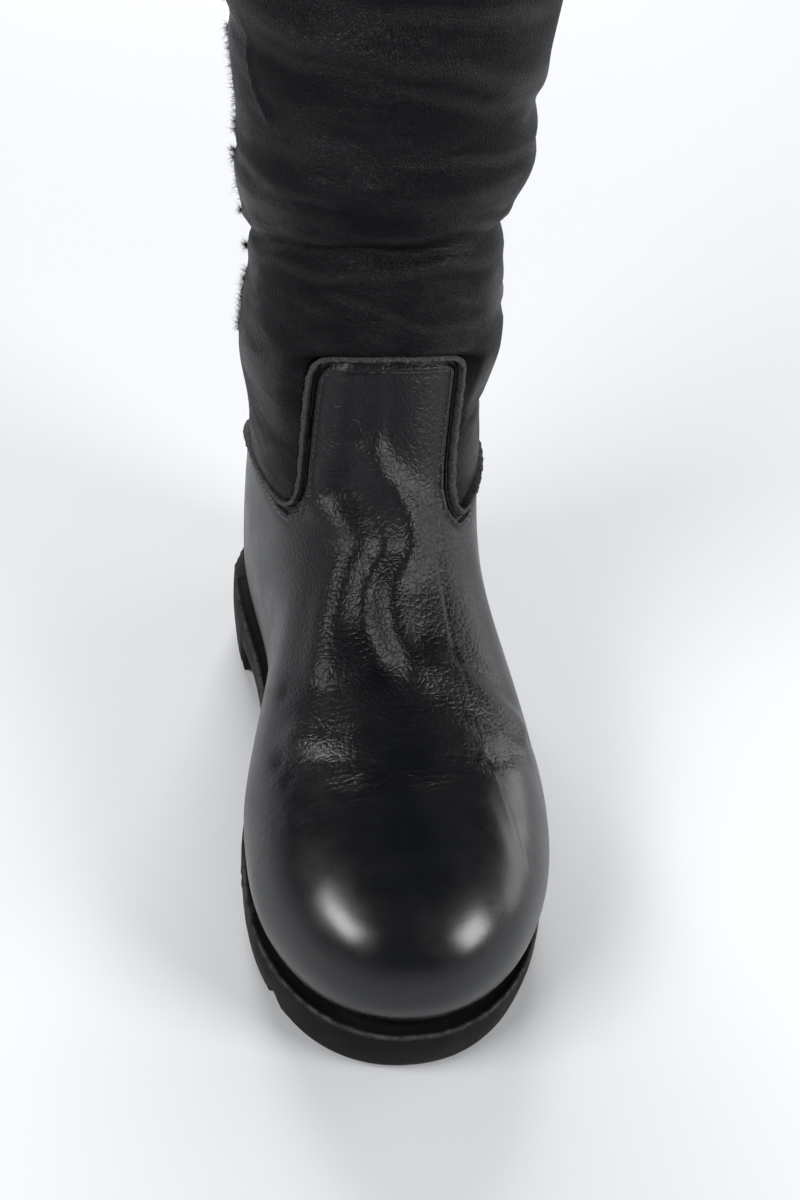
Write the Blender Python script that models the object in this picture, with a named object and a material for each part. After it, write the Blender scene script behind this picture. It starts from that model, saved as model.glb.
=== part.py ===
"""Over-the-knee boot for the wearer's left foot, in metres with +Z up.

The origin is on the floor, on the flat of the back heel lug. The toe points along -Y and the outer side of
the foot is +X. Every piece takes its shape from one last, which is a foot and a leg blended together.
"""

import math

import bmesh
import bpy
import numpy as np

# Driving dimensions
FOOT_LENGTH = 0.276
HEEL_BACK = 0.008
BALL_WIDTH = 0.108
INSTEP_HEIGHT = 0.108
SIDE_BULGE_HEIGHT = 0.019
SIDE_TUCK = 2.2
BOOT_HEIGHT = 0.560
LEG_WIDTH = 0.110
LEG_DEPTH = 0.126
LEG_FROM_HEEL = 0.046
LEG_SIDEWAYS = 0.0012
INSTEP_BLEND = 0.042
FOOT_WALL = 0.0024
SHAFT_WALL = 0.0030
SHAFT_PUFF = 0.0032
SEAM_LIP_WIDTH = 0.0018
SEAM_LIP_RISE = 0.0022
SEAM_LIP_DEPTH = 0.0042
SIDE_LAP_STEP = 0.0016
SIDE_LAP_ANGLE = 262.0
SIDE_LAP_RISE_ANGLE = 2.0
SIDE_LAP_FADE_ANGLE = 60.0
CLEARANCE = 0.0003
SEAM_GAP = 0.0005
LASTING_MARGIN = 0.014
INSOLE_THICKNESS = 0.0025
INSOLE_SIDE_GAP = 0.0012
LEDGE_WIDTH = 0.0060
LEDGE_RISE = 0.0008
SOLE_TOE_THICKNESS = 0.0185
SOLE_BALL_THICKNESS = 0.0200
SOLE_HEEL_THICKNESS = 0.0360
TOE_SPRING = 0.0060
ARCH_RISE = 0.0110
LUG_DEPTH = 0.0050
LUG_LENGTH = 0.0200
LUG_DRAFT = 0.0008
SIDE_WALL_BELLY = 0.0008
SIDE_WALL_TAPER = 0.0016
FOLD_DEPTH = 0.0060
INNER_FOLD_EASE = 0.40
SEAT_INSET = 0.010

# The foot from toe to heel: share of its length, inner and outer half widths as shares of the ball's width,
# and the height of its top as a share of the instep's height.
FOOT_SECTIONS = (
    ("share", "inner", "outer", "top"),
    (0.00, 0.490, 0.480, 0.44),
    (0.10, 0.495, 0.490, 0.49),
    (0.20, 0.510, 0.515, 0.53),
    (0.32, 0.512, 0.538, 0.60),
    (0.44, 0.460, 0.510, 0.71),
    (0.56, 0.385, 0.445, 0.86),
    (0.70, 0.350, 0.380, 1.00),
    (0.86, 0.338, 0.345, 0.98),
    (1.00, 0.330, 0.330, 0.90),
)
TOE_ROUND_SHARE = 0.27
TOE_TOP_SHARE = 0.17
HEEL_ROUND_SHARE = 0.13
TOE_SIDEWAYS = -0.0040
END_SHARPNESS = 50

# The leg from ankle to collar: height as a share of the boot's, half width as a share of the leg's width,
# reach to the front and to the back as shares of the leg's depth.
LEG_SECTIONS = (
    ("height", "side", "front", "back"),
    (0.10, 0.345, 0.360, 0.345),
    (0.18, 0.345, 0.365, 0.320),
    (0.26, 0.376, 0.405, 0.325),
    (0.34, 0.402, 0.425, 0.365),
    (0.43, 0.442, 0.440, 0.430),
    (0.53, 0.480, 0.455, 0.500),
    (0.68, 0.525, 0.475, 0.545),
    (0.84, 0.545, 0.500, 0.560),
    (1.00, 0.570, 0.540, 0.580),
)

# Rings that climb the last: level 0 is the feather line, 1 the top of the front panel and 2 the collar.
# Each is a cut through the last, tilted up towards the toe. Its middle lies ahead of the heel's back by a share
# of the foot's length, and up by a share of the instep's height plus a share of the leg above the instep.
LAST_RINGS = (
    ("level", "ahead", "instep", "leg", "tilt", "stretch"),
    (0.00, 0.511, 0.000, 0.000, 0.0, 2.60),
    (0.12, 0.504, 0.130, 0.000, 1.0, 2.60),
    (0.25, 0.486, 0.260, 0.000, 4.0, 2.50),
    (0.40, 0.420, 0.407, 0.000, 9.0, 2.10),
    (0.55, 0.330, 0.574, 0.000, 16.0, 1.60),
    (0.70, 0.257, 0.759, 0.000, 24.0, 1.30),
    (0.85, 0.210, 0.945, 0.000, 30.0, 1.15),
    (1.00, 0.181, 1.100, 0.000, 32.0, 1.10),
    (1.25, 0.170, 1.100, 0.085, 24.0, 1.10),
    (1.50, 0.163, 1.100, 0.186, 14.0, 1.10),
    (1.75, 0.157, 1.100, 0.300, 6.0, 1.10),
    (2.00, 0.152, 1.100, 1.000, 0.0, 1.10),
)
SEARCH_STEP = 0.002

# The seam between foot and shaft, once round from the front over the outer side: share of the columns, angle
# round the ring at the feather line, at the seam and at the collar, and the seam's level.
SEAM_PATH = (
    ("turn", "foot", "seam", "collar", "level"),
    (0.000, 0.0, 0.0, 0.0, 1.000),
    (0.070, 22.0, 22.0, 24.0, 1.000),
    (0.098, 32.0, 31.5, 34.0, 0.955),
    (0.150, 46.0, 34.0, 44.0, 0.800),
    (0.190, 58.0, 38.0, 54.0, 0.690),
    (0.215, 66.0, 47.0, 62.0, 0.655),
    (0.260, 80.0, 66.0, 78.0, 0.680),
    (0.360, 122.0, 118.0, 120.0, 0.740),
    (0.500, 180.0, 180.0, 180.0, 0.780),
    (0.640, 238.0, 242.0, 240.0, 0.740),
    (0.745, 278.0, 282.0, 281.0, 0.672),
    (0.785, 290.0, 298.0, 296.0, 0.655),
    (0.810, 299.0, 310.0, 305.0, 0.680),
    (0.850, 313.0, 321.0, 316.0, 0.800),
    (0.902, 329.0, 330.5, 327.0, 0.955),
    (0.930, 339.0, 339.5, 337.0, 1.000),
)
SEAM_MIDDLE = 0.80
COLUMNS = 66
PANEL_SIDE_ANGLE = 30.0
PANEL_FADE_START = 45.0
PANEL_FADE_END = 60.0
SHAFT_BOW_START = 22.0
COLUMN_BOW = math.radians(60)
COLLAR_LEVEL = 2.0
FOOT_ROWS = 14
SHAFT_ROWS = 19

# The slack folds of the shaft: height at the outer side, the front and the inner side as shares of the boot's,
# depth as a share of the fold depth and half height as a share of the boot's. A plus depth is a trough.
SHAFT_FOLDS = (
    ("outer", "front", "inner", "depth", "half"),
    (0.250, 0.268, 0.240, 0.85, 0.020),
    (0.300, 0.322, 0.290, -0.45, 0.030),
    (0.378, 0.398, 0.358, 0.95, 0.023),
    (0.422, 0.440, 0.404, -0.45, 0.028),
    (0.472, 0.461, 0.445, 0.45, 0.023),
)

# Lugs along each side of the sole, as shares of the foot's length from the toe
SIDE_LUGS = (
    ("start", "end"),
    (0.150, 0.205),
    (0.230, 0.290),
    (0.315, 0.375),
    (0.400, 0.460),
    (0.780, 0.835),
)
TOE_LUG_END = 0.125
WAIST_START = 0.50
HEEL_BREAST = 0.745
BREAST_SLOPE = 0.008
HEEL_LUG_START = 0.865
LUG_SLOPE = 0.006
TOE_COLUMNS = 14
HEEL_COLUMNS = 10


def column(table, name):
    """One named column of a table."""
    place = table[0].index(name)
    return np.array([row[place] for row in table[1:]], float)


def smooth_read(where, knots, values):
    """A smooth curve through the knots that never overshoots them."""
    steps = np.diff(knots)
    slopes = np.diff(values) / steps
    tangents = np.zeros(len(knots))
    product = slopes[:-1] * slopes[1:]
    total = slopes[:-1] + slopes[1:]
    same_way = product > 0
    tangents[1:-1][same_way] = 2 * product[same_way] / total[same_way]
    tangents[0], tangents[-1] = slopes[0], slopes[-1]
    where = np.clip(np.asarray(where, float), knots[0], knots[-1])
    at = np.clip(np.searchsorted(knots, where, side="right") - 1, 0, len(steps) - 1)
    t = (where - knots[at]) / steps[at]
    rise = values[at] * (1 + 2 * t) * (1 - t) ** 2 + values[at + 1] * t**2 * (3 - 2 * t)
    return rise + steps[at] * t * (1 - t) * (tangents[at] * (1 - t) - tangents[at + 1] * t)


def read(table, key, name, where):
    """A named column of a table, read along its key column."""
    return smooth_read(where, column(table, key), column(table, name))


def ease(share):
    share = np.clip(share, 0, 1)
    return share * share * (3 - 2 * share)


def seat_height(y):
    """Height above the floor of the surface that the upper stands on."""
    share = (y - HEEL_BACK + FOOT_LENGTH) / FOOT_LENGTH
    knots = np.array([0.0, 0.16, 0.36, 0.60, 0.82, 1.0])
    heights = np.array(
        [
            SOLE_TOE_THICKNESS + TOE_SPRING,
            SOLE_BALL_THICKNESS + 0.1 * TOE_SPRING,
            SOLE_BALL_THICKNESS,
            0.35 * SOLE_BALL_THICKNESS + 0.65 * SOLE_HEEL_THICKNESS,
            SOLE_HEEL_THICKNESS,
            SOLE_HEEL_THICKNESS,
        ]
    )
    return smooth_read(share, knots, heights)


def foot_field(x, y, up):
    """Under zero inside the foot, about in metres."""
    tuck = np.clip((SIDE_BULGE_HEIGHT - up) / (SIDE_TUCK * SIDE_BULGE_HEIGHT), 0, 0.9)
    spread = np.sqrt(1 - tuck**2)
    middle = HEEL_BACK - FOOT_LENGTH / 2
    x = x / spread
    y = middle + (y - middle) * (1 + (1 / spread - 1) * BALL_WIDTH / FOOT_LENGTH)
    share = (y - HEEL_BACK + FOOT_LENGTH) / FOOT_LENGTH
    inside = np.clip(share, 0.0005, 0.9995)
    toe = 1 - np.clip(1 - inside / TOE_ROUND_SHARE, 0, 1) ** 2.35
    heel = 1 - np.clip(1 - (1 - inside) / HEEL_ROUND_SHARE, 0, 1) ** 2.0
    round_end = np.minimum(toe ** (1 / 2.1), heel ** (1 / 2.0))
    shift = TOE_SIDEWAYS * np.clip(1 - inside / 0.45, 0, 1)
    half = BALL_WIDTH * round_end * np.where(
        x < shift,
        read(FOOT_SECTIONS, "share", "inner", inside),
        read(FOOT_SECTIONS, "share", "outer", inside),
    )
    top = INSTEP_HEIGHT * read(FOOT_SECTIONS, "share", "top", inside)
    dome = np.sqrt(1 - np.clip(1 - inside / TOE_TOP_SHARE, 0, 1) ** 2.2)
    crown = (top - SIDE_BULGE_HEIGHT) * dome
    side = np.abs(x - shift) / np.maximum(half, 0.0004)
    above = np.maximum(up - SIDE_BULGE_HEIGHT, 0) / np.maximum(crown, 0.0004)
    norm = (side**2.25 + above**2.1) ** (1 / 2.2)
    past = np.maximum(np.abs(share - 0.5) - 0.4995, 0) * FOOT_LENGTH * END_SHARPNESS
    return (norm - 1) * np.minimum(np.maximum(half, 0.004), 0.045) + past


def leg_field(x, y, up):
    """Under zero inside the leg, about in metres."""
    share = np.clip((up + SOLE_HEEL_THICKNESS) / BOOT_HEIGHT, 0.10, 1.0)
    back = y - (HEEL_BACK - LEG_FROM_HEEL)
    side = LEG_WIDTH * read(LEG_SECTIONS, "height", "side", share)
    reach = LEG_DEPTH * np.where(
        back < 0,
        read(LEG_SECTIONS, "height", "front", share),
        read(LEG_SECTIONS, "height", "back", share),
    )
    norm = (np.abs((x - LEG_SIDEWAYS) / side) ** 2.15 + np.abs(back / reach) ** 2.15) ** (1 / 2.15)
    return (norm - 1) * side


def last_field(points):
    """The foot and the leg blended into one last, standing on its flat bottom."""
    x, y, up = points[..., 0], points[..., 1], points[..., 2]
    foot, leg = foot_field(x, y, up), leg_field(x, y, up)
    mix = np.clip(0.5 + 0.5 * (leg - foot) / INSTEP_BLEND, 0, 1)
    return leg * (1 - mix) + foot * mix - INSTEP_BLEND * mix * (1 - mix)


def fold_height(angle, outer, front, inner):
    """A height that runs round the leg through its outer side, front and inner side."""
    sideways = np.sin(angle)
    forward = np.cos(angle)
    return (outer + inner) / 2 + (outer - inner) / 2 * sideways + (front - (outer + inner) / 2) * forward


def shaft_relief(angle, up):
    """How far the shaft stands off the last: in its slack folds, and at the lap of its inner side."""
    height = up / BOOT_HEIGHT
    depth = np.zeros_like(height)
    for outer, front, inner, deep, half in SHAFT_FOLDS[1:]:
        away = (height - fold_height(angle, outer, front, inner)) / half
        depth -= FOLD_DEPTH * deep * np.exp(-(away**2))
    depth *= 1 - INNER_FOLD_EASE * np.clip(-np.sin(angle), 0, 1)
    around = np.degrees(angle) % 360
    lap = ease((around - SIDE_LAP_ANGLE) / SIDE_LAP_RISE_ANGLE) * ease((360 - around) / SIDE_LAP_FADE_ANGLE)
    return depth, lap * SIDE_LAP_STEP


def last_points(angle, level):
    """Points of the last at angles round a ring and at levels up the last, before the sole lifts them."""
    tilt = np.radians(read(LAST_RINGS, "level", "tilt", level))
    along = HEEL_BACK - FOOT_LENGTH * read(LAST_RINGS, "level", "ahead", level)
    instep = INSTEP_HEIGHT * read(LAST_RINGS, "level", "instep", level)
    leg_length = BOOT_HEIGHT - SOLE_HEEL_THICKNESS - INSTEP_HEIGHT * column(LAST_RINGS, "instep")[-1]
    rise = instep + leg_length * read(LAST_RINGS, "level", "leg", level)
    stretch = read(LAST_RINGS, "level", "stretch", level)
    forward = np.cos(angle) * stretch
    way = np.stack([np.sin(angle), -forward * np.cos(tilt), forward * np.sin(tilt)], -1)
    way /= np.linalg.norm(way, axis=-1, keepdims=True)
    start = np.stack([np.zeros_like(along), along, rise], -1)
    reach = np.full(angle.shape, SEARCH_STEP)
    found = np.full(angle.shape, False)
    for step in range(int(FOOT_LENGTH / SEARCH_STEP)):
        ahead = np.where(found, reach, reach + SEARCH_STEP)
        crossed = last_field(start + way * ahead[..., None]) > 0
        reach = np.where(crossed | found, reach, ahead)
        found |= crossed
    near, far = reach, reach + SEARCH_STEP
    for step in range(24):
        middle = (near + far) / 2
        outside = last_field(start + way * middle[..., None]) > 0
        near, far = np.where(outside, near, middle), np.where(outside, middle, far)
    return start + way * near[..., None]


def last_normals(points):
    """Directions out of the last at points on it."""
    step = 0.0005
    slopes = [
        last_field(points + step * axis) - last_field(points - step * axis) for axis in np.eye(3)
    ]
    normals = np.stack(slopes, -1)
    return normals / np.linalg.norm(normals, axis=-1, keepdims=True)


def lifted(points):
    """The same points on the sole's seat instead of on a flat floor."""
    out = np.array(points)
    out[..., 2] += seat_height(points[..., 1])
    return out


def mesh_object(name, rows, first_cap, last_cap, material):
    """A closed solid from rings of points, listed so that its outer side climbs first."""
    shape = bmesh.new()
    rings = [[shape.verts.new(point) for point in ring] for ring in rows]
    count = len(rings[0])
    pairs = list(zip(rings, rings[1:]))
    if not (first_cap or last_cap):
        pairs.append((rings[-1], rings[0]))
    for low, high in pairs:
        for j in range(count):
            after = (j + 1) % count
            shape.faces.new((low[j], low[after], high[after], high[j]))
    for ring, wanted in ((rings[0], first_cap), (rings[-1], last_cap)):
        if not wanted:
            continue
        for j in range(count // 2):
            corners = (ring[j], ring[j + 1], ring[(count - j - 1) % count], ring[(count - j) % count])
            shape.faces.new(list(dict.fromkeys(corners)))
    bmesh.ops.recalc_face_normals(shape, faces=shape.faces)
    mesh = bpy.data.meshes.new(name)
    shape.to_mesh(mesh)
    shape.free()
    mesh.materials.append(material)
    mesh.shade_smooth()
    mesh.set_sharp_from_angle(angle=math.radians(40))
    piece = bpy.data.objects.new(name, mesh)
    bpy.context.scene.collection.objects.link(piece)
    return piece


def plain_material(name, colour, roughness):
    material = bpy.data.materials.new(name)
    material.use_nodes = True
    shader = material.node_tree.nodes["Principled BSDF"]
    shader.inputs["Base Color"].default_value = (*colour, 1)
    shader.inputs["Roughness"].default_value = roughness
    shader.inputs["Metallic"].default_value = 0.0
    return material


def seam_columns():
    """For each column: its angles at the feather line, the seam and the collar, and the seam's level."""
    turn = np.arange(COLUMNS) / COLUMNS
    table = column(SEAM_PATH, "turn")
    knots = np.concatenate([table - 1, table, table + 1])
    out = []
    for name in ("foot", "seam", "collar"):
        values = column(SEAM_PATH, name)
        out.append(np.radians(smooth_read(turn, knots, np.concatenate([values - 360, values, values + 360]))))
    levels = column(SEAM_PATH, "level")
    out.append(smooth_read(turn, knots, np.concatenate([levels] * 3)))
    return out


def seam_across(points, normals):
    """Directions in the last's surface, square to the seam and away from the foot."""
    along = np.roll(points, -1, axis=0) - np.roll(points, 1, axis=0)
    across = np.cross(normals, along)
    across /= np.linalg.norm(across, axis=1, keepdims=True)
    return across if across[:, 2].mean() > 0 else -across


def panel_side(angle, start):
    """Plus 1 at the front panel's outer edge, minus 1 at its inner edge, and 0 far from both."""
    around = (np.degrees(angle) + 180) % 360 - 180
    away = np.abs(around)
    near = np.clip((away - start) / (PANEL_SIDE_ANGLE - start), 0, 1)
    return np.sign(around) * near * ease((PANEL_FADE_END - away) / (PANEL_FADE_END - PANEL_FADE_START))


def foot_upper(material):
    """Vamp, quarters and front panel: one lasted hollow, turned in under the foot and open there."""
    at_foot, at_seam, _, seam_level = seam_columns()
    outer, inner = [], []
    for row in range(FOOT_ROWS + 1):
        share = row / FOOT_ROWS
        angle = at_foot + (at_seam - at_foot) * share
        angle = angle - panel_side(at_seam, 0.0) * COLUMN_BOW * share**3 * (1 - share)
        points = last_points(angle, seam_level * share)
        normals = last_normals(points)
        if row == FOOT_ROWS:
            points -= (SEAM_LIP_WIDTH / 2 + SEAM_GAP) * seam_across(points, normals)
        outer.append(points)
        inner.append(points - FOOT_WALL * normals)
    foot_ring = outer[0]
    inward = edge_normals(foot_ring)
    under = foot_ring - LASTING_MARGIN * inward
    floor = inner[0].copy()
    floor[:, :2] = foot_ring[:, :2] - FOOT_WALL * inward[:, :2]
    floor[:, 2] = FOOT_WALL
    margin_top = under.copy()
    margin_top[:, 2] += FOOT_WALL
    rows = [under] + outer + inner[:0:-1] + [floor, margin_top]
    return mesh_object("foot_upper", [lifted(ring) for ring in rows], False, False, material)


def edge_normals(ring):
    """Outward directions of a flat ring, in its own plane."""
    along = np.roll(ring, -1, axis=0) - np.roll(ring, 1, axis=0)
    normals = np.stack([-along[:, 1], along[:, 0], np.zeros(len(ring))], -1)
    normals /= np.linalg.norm(normals, axis=1, keepdims=True)
    middle = ring.mean(axis=0)
    if ((ring - middle) * normals).sum() < 0:
        normals = -normals
    return normals


def shaft(material):
    """The shearling tube, open at the collar, with its slack folds."""
    _, at_seam, at_collar, seam_level = seam_columns()
    outer, inner = [], []
    for row in range(SHAFT_ROWS + 1):
        share = row / SHAFT_ROWS
        angle = at_seam + (at_collar - at_seam) * share
        angle = angle + panel_side(at_seam, SHAFT_BOW_START) * COLUMN_BOW * share * (1 - share) ** 6
        level = SEAM_MIDDLE + (COLLAR_LEVEL - SEAM_MIDDLE) * share
        level = level + (seam_level - SEAM_MIDDLE) * (1 - share) ** 3
        points = last_points(angle, level)
        normals = last_normals(points)
        up = lifted(points)[:, 2]
        relief, lap = shaft_relief(angle, up)
        away = ease(share * 8)
        if row == 0:
            points += (SEAM_LIP_WIDTH / 2 + SEAM_GAP) * seam_across(points, normals)
        outer.append(points + ((SHAFT_PUFF + relief) * away + lap)[:, None] * normals)
        inner.append(points + ((SHAFT_PUFF + relief) * away - SHAFT_WALL)[:, None] * normals)
    rows = outer + inner[::-1]
    return mesh_object("shaft", [lifted(ring) for ring in rows], False, False, material)


def seam_lip(material):
    """The raised raw edge that stands in the seam between foot and shaft."""
    _, at_seam, _, seam_level = seam_columns()
    points = last_points(at_seam, seam_level)
    normals = last_normals(points)
    half = SEAM_LIP_WIDTH / 2 * seam_across(points, normals)
    out, low = SEAM_LIP_RISE * normals, (SEAM_LIP_DEPTH - SEAM_LIP_RISE) * normals
    rows = [points - half - low, points - half + out, points + half + out, points + half - low]
    return mesh_object("seam_lip", [lifted(ring) for ring in rows], False, False, material)


def insole(material):
    """The insole, on the upper's turned-in margin."""
    at_foot = seam_columns()[0]
    ring = last_points(at_foot, np.zeros(COLUMNS))
    ring = ring - (FOOT_WALL + INSOLE_SIDE_GAP) * edge_normals(ring)
    low, high = ring.copy(), ring.copy()
    low[:, 2] = FOOT_WALL + CLEARANCE
    high[:, 2] = FOOT_WALL + CLEARANCE + INSOLE_THICKNESS
    return mesh_object("insole", [lifted(low), lifted(high)], True, True, material)


def tread_height(y):
    """Height of the tread's lowest face: flat at ball and heel, raised at the arch and the toe."""
    share = (y - HEEL_BACK + FOOT_LENGTH) / FOOT_LENGTH
    spring = TOE_SPRING * np.clip(1 - share / 0.17, 0, 1.4) ** 2
    arch = ARCH_RISE * ease((share - WAIST_START) / 0.12) * ease((HEEL_BREAST - share) / BREAST_SLOPE + 1)
    return spring + arch


def outline_angles():
    """Angles of the sole's columns, the same count on both sides, and whether each is on a lug."""
    fine = np.radians(np.linspace(0, 360, 1441))
    ring = last_points(fine, np.zeros(len(fine)))
    shares = (ring[:, 1] - HEEL_BACK + FOOT_LENGTH) / FOOT_LENGTH
    marks = [(TOE_LUG_END, True), (TOE_LUG_END + LUG_SLOPE, False)]
    for start, end in SIDE_LUGS[1:]:
        marks += [(start - LUG_SLOPE, False), (start, True), ((start + end) / 2, True)]
        marks += [(end, True), (end + LUG_SLOPE, False)]
    marks += [(WAIST_START + 0.03, False), (WAIST_START + 0.08, False), (WAIST_START + 0.15, False)]
    marks += [(HEEL_BREAST - 0.03, False), (HEEL_BREAST, False), (HEEL_BREAST + BREAST_SLOPE, True)]
    marks += [(HEEL_LUG_START - LUG_SLOPE, False), (HEEL_LUG_START, True)]
    marks.sort()
    half = len(fine) // 2
    outer_side = [np.interp(share, shares[: half + 1], fine[: half + 1]) for share, _ in marks]
    inner_side = [np.interp(share, shares[half:][::-1], fine[half:][::-1]) for share, _ in marks]
    on_lug = [lug for _, lug in marks]
    toe = np.linspace(inner_side[0] - 2 * math.pi, outer_side[0], TOE_COLUMNS + 1)
    heel = np.linspace(outer_side[-1], inner_side[-1], HEEL_COLUMNS + 1)
    half_toe = toe[TOE_COLUMNS // 2 : -1]
    other_toe = toe[1 : TOE_COLUMNS // 2]
    angles = np.concatenate([half_toe, outer_side, heel[1:-1], inner_side[::-1], other_toe])
    lugs = [True] * len(half_toe) + on_lug + [True] * (HEEL_COLUMNS - 1) + on_lug[::-1]
    return angles, np.array(lugs + [True] * len(other_toe))


def outsole(material):
    """The moulded rubber unit: seat, ledge, side wall and lugs, with the heel, the arch and the toe spring."""
    angles, on_lug = outline_angles()
    ring = last_points(angles, np.zeros(len(angles)))
    outward = edge_normals(ring)

    def ring_at(offset, height):
        out = ring + outward * offset
        out[:, 2] = height(out[:, 1])
        return out

    def seat(y):
        return seat_height(y) - CLEARANCE

    def tread(y):
        return tread_height(y) + np.where(on_lug, 0, LUG_DEPTH)

    def plate(y):
        return tread_height(y) + LUG_DEPTH + 0.0002

    inner_edge = LEDGE_WIDTH - LUG_LENGTH
    rows = [
        ring_at(-SEAT_INSET, seat),
        ring_at(LEDGE_WIDTH * 0.5, seat),
        ring_at(LEDGE_WIDTH, lambda y: seat_height(y) + LEDGE_RISE),
        ring_at(LEDGE_WIDTH + SIDE_WALL_BELLY, lambda y: seat_height(y) * 0.55 + tread_height(y) * 0.45),
        ring_at(LEDGE_WIDTH - SIDE_WALL_TAPER, tread),
        ring_at(inner_edge, tread),
        ring_at(inner_edge - LUG_DRAFT, plate),
    ]
    return mesh_object("outsole", rows, True, True, material)


def build():
    for left_over in list(bpy.data.objects):
        bpy.data.objects.remove(left_over, do_unlink=True)
    outsole(plain_material("rubber", (0.026, 0.025, 0.023), 0.75))
    foot_upper(plain_material("grain_leather", (0.010, 0.010, 0.011), 0.32))
    shaft(plain_material("shearling_leather", (0.012, 0.012, 0.012), 0.55))
    seam_lip(plain_material("cut_edge", (0.045, 0.050, 0.045), 0.85))
    insole(plain_material("insole_board", (0.018, 0.017, 0.016), 0.9))


build()
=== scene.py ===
"""A worn black over-the-knee boot for the left foot, standing on a pale floor in soft studio light.

The toe points along -Y, the outer side of the foot is +X, and sizes are in metres.
"""

import math

import bmesh
import bpy
import numpy as np
from mathutils import Matrix, Vector
from mathutils.bvhtree import BVHTree


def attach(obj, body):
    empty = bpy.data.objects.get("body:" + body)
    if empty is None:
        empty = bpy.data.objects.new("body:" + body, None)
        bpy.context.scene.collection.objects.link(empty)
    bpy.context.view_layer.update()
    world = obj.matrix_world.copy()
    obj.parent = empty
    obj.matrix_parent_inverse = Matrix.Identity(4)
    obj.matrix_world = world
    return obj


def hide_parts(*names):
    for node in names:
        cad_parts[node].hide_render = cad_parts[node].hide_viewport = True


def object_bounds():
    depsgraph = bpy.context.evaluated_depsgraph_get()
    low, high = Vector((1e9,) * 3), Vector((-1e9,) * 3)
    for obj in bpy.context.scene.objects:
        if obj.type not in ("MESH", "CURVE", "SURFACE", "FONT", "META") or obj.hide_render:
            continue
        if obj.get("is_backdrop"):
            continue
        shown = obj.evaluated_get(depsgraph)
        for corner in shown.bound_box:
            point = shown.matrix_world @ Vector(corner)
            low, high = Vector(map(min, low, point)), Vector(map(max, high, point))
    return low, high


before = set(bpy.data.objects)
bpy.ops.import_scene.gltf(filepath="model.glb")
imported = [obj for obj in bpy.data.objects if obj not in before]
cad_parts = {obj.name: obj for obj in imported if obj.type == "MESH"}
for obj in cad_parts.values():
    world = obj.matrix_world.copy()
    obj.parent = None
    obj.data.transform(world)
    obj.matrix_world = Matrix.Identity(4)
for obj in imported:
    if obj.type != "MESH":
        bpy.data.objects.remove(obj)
cad_low, cad_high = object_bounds()

# Camera
# A still camera in front of the toe and above it, turned down, and turned a little so that the one boot
# is in the middle. The shaft runs out of the top of the picture.
CAMERA_PLACE = Vector((-0.0843, -0.5345, 0.4481))
CAMERA_YAW = 0.0751
CAMERA_PITCH = 0.7054
CAMERA_ROLL = 0.0140
CAMERA_TURN = math.radians(6.2)
CAMERA_LENS_MM = 43.5
SENSOR_MM = 36

level_gaze = Vector((math.sin(CAMERA_YAW), math.cos(CAMERA_YAW), 0))
gaze = level_gaze * math.cos(CAMERA_PITCH) - Vector((0, 0, math.sin(CAMERA_PITCH)))
side = Vector((math.cos(CAMERA_YAW), -math.sin(CAMERA_YAW), 0))
head = side.cross(gaze)
side, head = (
    side * math.cos(CAMERA_ROLL) + head * math.sin(CAMERA_ROLL),
    head * math.cos(CAMERA_ROLL) - side * math.sin(CAMERA_ROLL),
)
gaze, side = (
    gaze * math.cos(CAMERA_TURN) + side * math.sin(CAMERA_TURN),
    side * math.cos(CAMERA_TURN) - gaze * math.sin(CAMERA_TURN),
)
camera = bpy.data.objects.new("camera", bpy.data.cameras.new("camera"))
camera.data.lens = CAMERA_LENS_MM
camera.data.sensor_width = SENSOR_MM
camera.data.clip_start = 0.01
camera.matrix_world = Matrix.Translation(CAMERA_PLACE) @ Matrix((side, head, -gaze)).transposed().to_4x4()
bpy.context.scene.collection.objects.link(camera)
bpy.context.scene.camera = camera

# Floor and light
# A pale paper sweep under the boot in a room that is white all round and dim above. Soft boxes at the left
# and the right give the two bright patches on the toe cap and light the creases of the vamp, a low one
# beside the boot greys the outer side, and one behind whitens the far floor.
FLOOR_SIZE = 12.0
FLOOR_COLOUR = (0.63, 0.64, 0.655, 1)
ROOM_COLOUR = (0.94, 0.96, 1.0, 1)
ROOM_LOW = 0.80
ROOM_HIGH = 0.05
ROOM_DIM_ABOVE = 0.42
FLOOR_ROUGHNESS = 0.85
SOFT_BOXES = (
    ("name", "x", "y", "z", "wide", "high", "watts"),
    ("left", -0.86, -0.56, 0.92, 0.70, 0.34, 12.5),
    ("right", 0.93, -0.84, 0.76, 0.52, 0.52, 12.5),
    ("wide", 1.45, 0.15, 0.42, 1.10, 0.60, 7.0),
    ("behind", 0.0, 2.2, 1.8, 1.8, 0.9, 84.0),
)
LIGHT_TARGET = Vector((0, -0.16, 0.10))

sweep = bmesh.new()
bmesh.ops.create_grid(sweep, x_segments=2, y_segments=2, size=FLOOR_SIZE / 2)
floor_mesh = bpy.data.meshes.new("floor")
sweep.to_mesh(floor_mesh)
sweep.free()
floor = bpy.data.objects.new("floor", floor_mesh)
bpy.context.scene.collection.objects.link(floor)
paper = bpy.data.materials.new("floor paper")
paper.use_nodes = True
paper.node_tree.nodes["Principled BSDF"].inputs["Base Color"].default_value = FLOOR_COLOUR
paper.node_tree.nodes["Principled BSDF"].inputs["Roughness"].default_value = FLOOR_ROUGHNESS
floor_mesh.materials.append(paper)
floor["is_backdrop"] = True

room = bpy.data.worlds.new("room")
room.use_nodes = True
room.node_tree.nodes["Background"].inputs["Color"].default_value = ROOM_COLOUR
room_tree = room.node_tree
way_out = room_tree.nodes.new("ShaderNodeTexCoord")
way_parts = room_tree.nodes.new("ShaderNodeSeparateXYZ")
dimmer = room_tree.nodes.new("ShaderNodeMapRange")
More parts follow.
